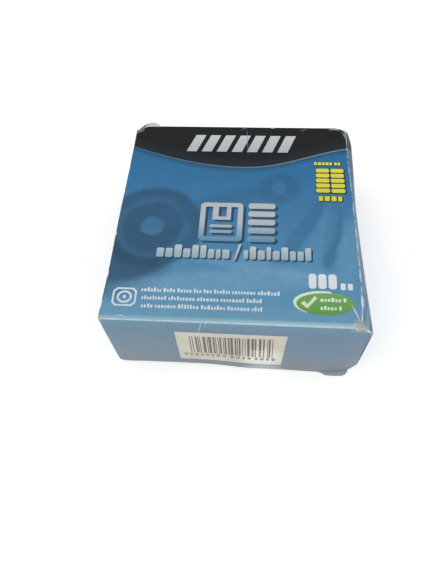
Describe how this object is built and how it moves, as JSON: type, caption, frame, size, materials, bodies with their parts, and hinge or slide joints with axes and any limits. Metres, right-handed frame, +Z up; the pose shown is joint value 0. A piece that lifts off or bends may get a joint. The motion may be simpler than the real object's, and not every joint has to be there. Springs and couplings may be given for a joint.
{
  "type": "floppy disk carton",
  "caption": "Worn folding carton with a tuck lid, lying on its back panel, holding a stack of 3.5-inch diskettes whose shutters slide and discs turn.",
  "frame": {"origin": "middle of the base of the carton's box, on the surface it lies on", "axes": "+Z up through the front panel, +Y towards the tuck lid, +X across the front panel to the crushed side"},
  "size_m": [0.0978, 0.0996, 0.038],
  "materials": {
    "printed_card": "satin",
    "label_paper": "matte",
    "shell_plastic": "matte",
    "shutter_steel": "satin",
    "disc_film": "satin",
    "tab_plastic": "matte"
  },
  "bodies": {
    "pack": {"carton": "printed_card", "label_sheets": "label_paper", "disk_01_front_shell": "shell_plastic", "disk_01_back_shell": "shell_plastic", "disk_02_front_shell": "shell_plastic", "disk_02_back_shell": "shell_plastic", "disk_03_front_shell": "shell_plastic", "disk_03_back_shell": "shell_plastic", "disk_04_front_shell": "shell_plastic", "disk_04_back_shell": "shell_plastic", "disk_05_front_shell": "shell_plastic", "disk_05_back_shell": "shell_plastic", "disk_06_front_shell": "shell_plastic", "disk_06_back_shell": "shell_plastic", "disk_07_front_shell": "shell_plastic", "disk_07_back_shell": "shell_plastic", "disk_08_front_shell": "shell_plastic", "disk_08_back_shell": "shell_plastic", "disk_09_front_shell": "shell_plastic", "disk_09_back_shell": "shell_plastic", "disk_10_front_shell": "shell_plastic", "disk_10_back_shell": "shell_plastic"},
    "lid": {"lid_flap": "printed_card"},
    "shutter_01": {"disk_01_shutter": "shutter_steel"},
    "disc_01": {"disk_01_disc": "disc_film"},
    "write_tab_01": {"disk_01_write_tab": "tab_plastic"},
    "shutter_02": {"disk_02_shutter": "shutter_steel"},
    "disc_02": {"disk_02_disc": "disc_film"},
    "write_tab_02": {"disk_02_write_tab": "tab_plastic"},
    "shutter_03": {"disk_03_shutter": "shutter_steel"},
    "disc_03": {"disk_03_disc": "disc_film"},
    "write_tab_03": {"disk_03_write_tab": "tab_plastic"},
    "shutter_04": {"disk_04_shutter": "shutter_steel"},
    "disc_04": {"disk_04_disc": "disc_film"},
    "write_tab_04": {"disk_04_write_tab": "tab_plastic"},
    "shutter_05": {"disk_05_shutter": "shutter_steel"},
    "disc_05": {"disk_05_disc": "disc_film"},
    "write_tab_05": {"disk_05_write_tab": "tab_plastic"},
    "shutter_06": {"disk_06_shutter": "shutter_steel"},
    "disc_06": {"disk_06_disc": "disc_film"},
    "write_tab_06": {"disk_06_write_tab": "tab_plastic"},
    "shutter_07": {"disk_07_shutter": "shutter_steel"},
    "disc_07": {"disk_07_disc": "disc_film"},
    "write_tab_07": {"disk_07_write_tab": "tab_plastic"},
    "shutter_08": {"disk_08_shutter": "shutter_steel"},
    "disc_08": {"disk_08_disc": "disc_film"},
    "write_tab_08": {"disk_08_write_tab": "tab_plastic"},
    "shutter_09": {"disk_09_shutter": "shutter_steel"},
    "disc_09": {"disk_09_disc": "disc_film"},
    "write_tab_09": {"disk_09_write_tab": "tab_plastic"},
    "shutter_10": {"disk_10_shutter": "shutter_steel"},
    "disc_10": {"disk_10_disc": "disc_film"},
    "write_tab_10": {"disk_10_write_tab": "tab_plastic"}
  },
  "joints": [
    {"name": "lid_hinge", "type": "hinge", "parent": "pack", "child": "lid", "pos_m": [0, 0.04955, 0.00025], "axis": [-1, 0, 0], "range_deg": [0, 90]},
    {"name": "shutter_01_slide", "type": "slide", "parent": "pack", "child": "shutter_01", "axis": [-1, 0, 0], "range_m": [0, 0.017], "stiffness_N_per_m": 30, "springref_m": -0.01},
    {"name": "disc_01_spin", "type": "hinge", "parent": "pack", "child": "disc_01", "pos_m": [-0.0019, 0.00222, 0.00215], "axis": [0, 0, 1], "continuous": true},
    {"name": "write_tab_01_slide", "type": "slide", "parent": "pack", "child": "write_tab_01", "axis": [0, 1, 0], "range_m": [0, 0.0042]},
    {"name": "shutter_02_slide", "type": "slide", "parent": "pack", "child": "shutter_02", "axis": [-1, 0, 0], "range_m": [0, 0.017], "stiffness_N_per_m": 30, "springref_m": -0.01},
    {"name": "disc_02_spin", "type": "hinge", "parent": "pack", "child": "disc_02", "pos_m": [-0.0019, 0.00222, 0.00545], "axis": [0, 0, 1], "continuous": true},
    {"name": "write_tab_02_slide", "type": "slide", "parent": "pack", "child": "write_tab_02", "axis": [0, 1, 0], "range_m": [0, 0.0042]},
    {"name": "shutter_03_slide", "type": "slide", "parent": "pack", "child": "shutter_03", "axis": [-1, 0, 0], "range_m": [0, 0.017], "stiffness_N_per_m": 30, "springref_m": -0.01},
    {"name": "disc_03_spin", "type": "hinge", "parent": "pack", "child": "disc_03", "pos_m": [-0.0019, 0.00222, 0.00875], "axis": [0, 0, 1], "continuous": true},
    {"name": "write_tab_03_slide", "type": "slide", "parent": "pack", "child": "write_tab_03", "axis": [0, 1, 0], "range_m": [0, 0.0042]},
    {"name": "shutter_04_slide", "type": "slide", "parent": "pack", "child": "shutter_04", "axis": [-1, 0, 0], "range_m": [0, 0.017], "stiffness_N_per_m": 30, "springref_m": -0.01},
    {"name": "disc_04_spin", "type": "hinge", "parent": "pack", "child": "disc_04", "pos_m": [-0.0019, 0.00222, 0.01205], "axis": [0, 0, 1], "continuous": true},
    {"name": "write_tab_04_slide", "type": "slide", "parent": "pack", "child": "write_tab_04", "axis": [0, 1, 0], "range_m": [0, 0.0042]},
    {"name": "shutter_05_slide", "type": "slide", "parent": "pack", "child": "shutter_05", "axis": [-1, 0, 0], "range_m": [0, 0.017], "stiffness_N_per_m": 30, "springref_m": -0.01},
    {"name": "disc_05_spin", "type": "hinge", "parent": "pack", "child": "disc_05", "pos_m": [-0.0019, 0.00222, 0.01535], "axis": [0, 0, 1], "continuous": true},
    {"name": "write_tab_05_slide", "type": "slide", "parent": "pack", "child": "write_tab_05", "axis": [0, 1, 0], "range_m": [0, 0.0042]},
    {"name": "shutter_06_slide", "type": "slide", "parent": "pack", "child": "shutter_06", "axis": [-1, 0, 0], "range_m": [0, 0.017], "stiffness_N_per_m": 30, "springref_m": -0.01},
    {"name": "disc_06_spin", "type": "hinge", "parent": "pack", "child": "disc_06", "pos_m": [-0.0019, 0.00222, 0.01865], "axis": [0, 0, 1], "continuous": true},
    {"name": "write_tab_06_slide", "type": "slide", "parent": "pack", "child": "write_tab_06", "axis": [0, 1, 0], "range_m": [0, 0.0042]},
    {"name": "shutter_07_slide", "type": "slide", "parent": "pack", "child": "shutter_07", "axis": [-1, 0, 0], "range_m": [0, 0.017], "stiffness_N_per_m": 30, "springref_m": -0.01},
    {"name": "disc_07_spin", "type": "hinge", "parent": "pack", "child": "disc_07", "pos_m": [-0.0019, 0.00222, 0.02195], "axis": [0, 0, 1], "continuous": true},
    {"name": "write_tab_07_slide", "type": "slide", "parent": "pack", "child": "write_tab_07", "axis": [0, 1, 0], "range_m": [0, 0.0042]},
    {"name": "shutter_08_slide", "type": "slide", "parent": "pack", "child": "shutter_08", "axis": [-1, 0, 0], "range_m": [0, 0.017], "stiffness_N_per_m": 30, "springref_m": -0.01},
    {"name": "disc_08_spin", "type": "hinge", "parent": "pack", "child": "disc_08", "pos_m": [-0.0019, 0.00222, 0.02525], "axis": [0, 0, 1], "continuous": true},
    {"name": "write_tab_08_slide", "type": "slide", "parent": "pack", "child": "write_tab_08", "axis": [0, 1, 0], "range_m": [0, 0.0042]},
    {"name": "shutter_09_slide", "type": "slide", "parent": "pack", "child": "shutter_09", "axis": [-1, 0, 0], "range_m": [0, 0.017], "stiffness_N_per_m": 30, "springref_m": -0.01},
    {"name": "disc_09_spin", "type": "hinge", "parent": "pack", "child": "disc_09", "pos_m": [-0.0019, 0.00222, 0.02855], "axis": [0, 0, 1], "continuous": true},
    {"name": "write_tab_09_slide", "type": "slide", "parent": "pack", "child": "write_tab_09", "axis": [0, 1, 0], "range_m": [0, 0.0042]},
    {"name": "shutter_10_slide", "type": "slide", "parent": "pack", "child": "shutter_10", "axis": [-1, 0, 0], "range_m": [0, 0.017], "stiffness_N_per_m": 30, "springref_m": -0.01},
    {"name": "disc_10_spin", "type": "hinge", "parent": "pack", "child": "disc_10", "pos_m": [-0.0019, 0.00222, 0.03185], "axis": [0, 0, 1], "continuous": true},
    {"name": "write_tab_10_slide", "type": "slide", "parent": "pack", "child": "write_tab_10", "axis": [0, 1, 0], "range_m": [0, 0.0042]}
  ]
}
